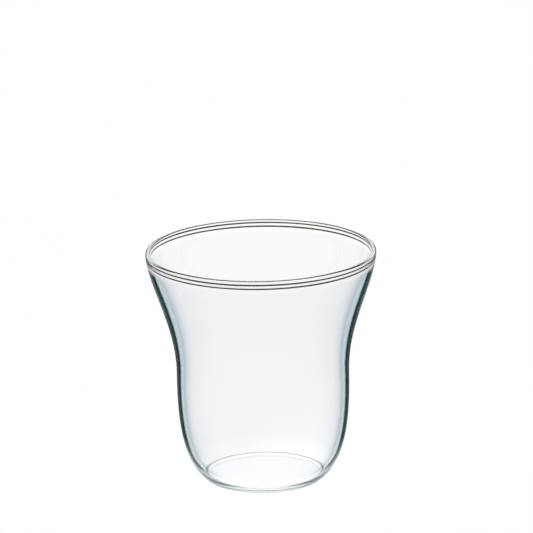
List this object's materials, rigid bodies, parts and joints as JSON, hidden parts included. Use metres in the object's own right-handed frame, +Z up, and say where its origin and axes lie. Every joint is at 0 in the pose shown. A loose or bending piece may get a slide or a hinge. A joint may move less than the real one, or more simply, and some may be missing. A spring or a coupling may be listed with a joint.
{
  "type": "glass cup",
  "caption": "Bell-shaped handleless tea glass of clear blown glass, with a flared mouth, a rounded lip, a flat foot and fine brown enamel lines below the rim.",
  "frame": {"origin": "centre of the flat foot, on the surface that the glass stands on", "axes": "+Z up along the axis of revolution, from the foot to the mouth; X and Y are free because the glass is round"},
  "size_m": [0.0794, 0.0794, 0.0815],
  "materials": {
    "clear_glass": "clear borosilicate glass, blown and fire polished",
    "brown_enamel": "dark brown vitreous enamel, painted on and fired"
  },
  "bodies": {
    "root": {"glass_body": "clear_glass", "upper_rim_line": "brown_enamel", "lower_rim_line": "brown_enamel"}
  },
  "joints": []
}
